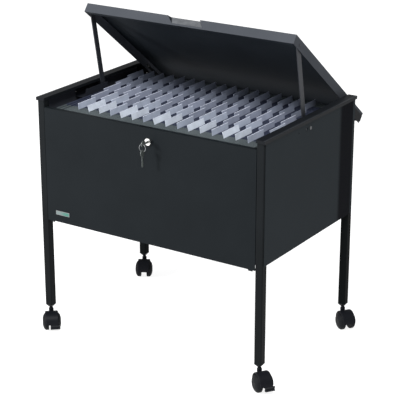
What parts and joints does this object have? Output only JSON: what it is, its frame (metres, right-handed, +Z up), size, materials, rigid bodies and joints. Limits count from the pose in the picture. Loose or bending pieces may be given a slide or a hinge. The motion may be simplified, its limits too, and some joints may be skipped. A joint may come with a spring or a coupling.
{
  "type": "lockable suspension file trolley",
  "caption": "Wheeled steel trolley for hanging files, with a sheet-metal cabinet on square legs, a lockable lid raised on swing arms, twin-wheel casters and files in place.",
  "frame": {"origin": "floor level, midway between the four legs", "axes": "+X right, +Y to the rear, +Z up through the flat tops of the side rails"},
  "size_m": [0.6986, 0.5646, 0.8236],
  "materials": {
    "powder_coat": "anthracite powder coat, satin",
    "black_plastic": "moulded black nylon",
    "wheel_rubber": "moulded",
    "zinc_steel": "zinc plated",
    "nickel": "bright nickel plate",
    "file_card": "blue-white card",
    "label": "satin silver"
  },
  "bodies": {
    "cabinet": {"leg_FL": "powder_coat", "leg_plug_FL": "black_plastic", "caster_stem_FL": "zinc_steel", "leg_FR": "powder_coat", "leg_plug_FR": "black_plastic", "caster_stem_FR": "zinc_steel", "leg_RR": "powder_coat", "leg_plug_RR": "black_plastic", "caster_stem_RR": "zinc_steel", "leg_RL": "powder_coat", "leg_plug_RL": "black_plastic", "caster_stem_RL": "zinc_steel", "side_panel_L": "powder_coat", "side_panel_R": "powder_coat", "front_panel": "powder_coat", "rear_panel": "powder_coat", "base_tray": "powder_coat", "top_rail_L": "powder_coat", "top_rail_R": "powder_coat", "file_rail_front": "powder_coat", "file_rail_rear": "powder_coat", "arm_bracket_L": "powder_coat", "arm_bracket_R": "powder_coat", "guide_pin_L": "zinc_steel", "guide_pin_R": "zinc_steel", "side_screw_L": "zinc_steel", "side_screw_R": "zinc_steel", "lock_barrel": "nickel", "badge": "label"},
    "arms": {"lid_arm_L": "powder_coat", "lid_arm_R": "powder_coat"},
    "lid": {"lid": "powder_coat"},
    "files": {"files_1": "file_card", "files_2": "file_card", "files_3": "file_card", "files_4": "file_card", "files_5": "file_card", "files_6": "file_card"},
    "lock_core": {"lock_cam": "nickel", "key": "nickel"},
    "key_ring": {"key_ring": "nickel"},
    "spare_key": {"spare_key": "nickel"},
    "caster_FL": {"caster_hood_FL": "black_plastic", "caster_axle_FL": "zinc_steel"},
    "wheel_FL_a": {"caster_wheel_FL_a": "wheel_rubber"},
    "wheel_FL_b": {"caster_wheel_FL_b": "wheel_rubber"},
    "pedal_FL": {"brake_pedal_FL": "black_plastic"},
    "caster_FR": {"caster_hood_FR": "black_plastic", "caster_axle_FR": "zinc_steel"},
    "wheel_FR_a": {"caster_wheel_FR_a": "wheel_rubber"},
    "wheel_FR_b": {"caster_wheel_FR_b": "wheel_rubber"},
    "pedal_FR": {"brake_pedal_FR": "black_plastic"},
    "caster_RR": {"caster_hood_RR": "black_plastic", "caster_axle_RR": "zinc_steel"},
    "wheel_RR_a": {"caster_wheel_RR_a": "wheel_rubber"},
    "wheel_RR_b": {"caster_wheel_RR_b": "wheel_rubber"},
    "caster_RL": {"caster_hood_RL": "black_plastic", "caster_axle_RL": "zinc_steel"},
    "wheel_RL_a": {"caster_wheel_RL_a": "wheel_rubber"},
    "wheel_RL_b": {"caster_wheel_RL_b": "wheel_rubber"}
  },
  "joints": [
    {"name": "lid_arms", "type": "hinge", "parent": "cabinet", "child": "arms", "pos_m": [0, 0.012, 0.596], "axis": [1, 0, 0], "range_deg": [0, 76.4]},
    {"name": "lid_tilt", "type": "hinge", "parent": "arms", "child": "lid", "pos_m": [0, -0.02578, 0.79469], "axis": [1, 0, 0], "range_deg": [-38.2, 0]},
    {"name": "files_slide", "type": "slide", "parent": "cabinet", "child": "files", "axis": [1, 0, 0], "range_m": [-0.0025, 0.0025]},
    {"name": "lock_turn", "type": "hinge", "parent": "cabinet", "child": "lock_core", "pos_m": [0.0095, -0.219, 0.564], "axis": [0, 1, 0], "range_deg": [0, 90]},
    {"name": "ring_swing", "type": "hinge", "parent": "lock_core", "child": "key_ring", "pos_m": [0.0095, -0.246, 0.564], "axis": [1, 0, 0], "range_deg": [-15, 12]},
    {"name": "spare_swing", "type": "hinge", "parent": "key_ring", "child": "spare_key", "pos_m": [0.0095, -0.246, 0.546], "axis": [1, 0, 0], "range_deg": [-20, 10]},
    {"name": "swivel_FL", "type": "hinge", "parent": "cabinet", "child": "caster_FL", "pos_m": [-0.315, -0.209, 0.048], "axis": [0, 0, 1], "continuous": true},
    {"name": "roll_FL_a", "type": "hinge", "parent": "caster_FL", "child": "wheel_FL_a", "pos_m": [-0.30253, -0.22334, 0.0225], "axis": [0.7547, 0.6561, 0], "continuous": true},
    {"name": "roll_FL_b", "type": "hinge", "parent": "caster_FL", "child": "wheel_FL_b", "pos_m": [-0.30253, -0.22334, 0.0225], "axis": [0.7547, 0.6561, 0], "continuous": true},
    {"name": "brake_FL", "type": "hinge", "parent": "caster_FL", "child": "pedal_FL", "pos_m": [-0.28565, -0.24277, 0.02079], "axis": [0.7547, 0.6561, 0], "range_deg": [0, 9]},
    {"name": "swivel_FR", "type": "hinge", "parent": "cabinet", "child": "caster_FR", "pos_m": [0.315, -0.209, 0.048], "axis": [0, 0, 1], "continuous": true},
    {"name": "roll_FR_a", "type": "hinge", "parent": "caster_FR", "child": "wheel_FR_a", "pos_m": [0.33056, -0.2199, 0.0225], "axis": [0.5736, 0.8192, 0], "continuous": true},
    {"name": "roll_FR_b", "type": "hinge", "parent": "caster_FR", "child": "wheel_FR_b", "pos_m": [0.33056, -0.2199, 0.0225], "axis": [0.5736, 0.8192, 0], "continuous": true},
    {"name": "brake_FR", "type": "hinge", "parent": "caster_FR", "child": "pedal_FR", "pos_m": [0.35165, -0.23466, 0.02079], "axis": [0.5736, 0.8192, 0], "range_deg": [0, 9]},
    {"name": "swivel_RR", "type": "hinge", "parent": "cabinet", "child": "caster_RR", "pos_m": [0.315, 0.209, 0.048], "axis": [0, 0, 1], "continuous": true},
    {"name": "roll_RR_a", "type": "hinge", "parent": "caster_RR", "child": "wheel_RR_a", "pos_m": [0.33017, 0.19757, 0.0225], "axis": [0.6018, 0.7986, 0], "continuous": true},
    {"name": "roll_RR_b", "type": "hinge", "parent": "caster_RR", "child": "wheel_RR_b", "pos_m": [0.33017, 0.19757, 0.0225], "axis": [0.6018, 0.7986, 0], "continuous": true},
    {"name": "swivel_RL", "type": "hinge", "parent": "cabinet", "child": "caster_RL", "pos_m": [-0.315, 0.209, 0.048], "axis": [0, 0, 1], "continuous": true},
    {"name": "roll_RL_a", "type": "hinge", "parent": "caster_RL", "child": "wheel_RL_a", "pos_m": [-0.30521, 0.19271, 0.0225], "axis": [0.8572, 0.515, 0], "continuous": true},
    {"name": "roll_RL_b", "type": "hinge", "parent": "caster_RL", "child": "wheel_RL_b", "pos_m": [-0.30521, 0.19271, 0.0225], "axis": [0.8572, 0.515, 0], "continuous": true}
  ],
  "couplings": [
    {"joint": "lid_tilt", "follows": "lid_arms", "ratio": -0.5}
  ]
}
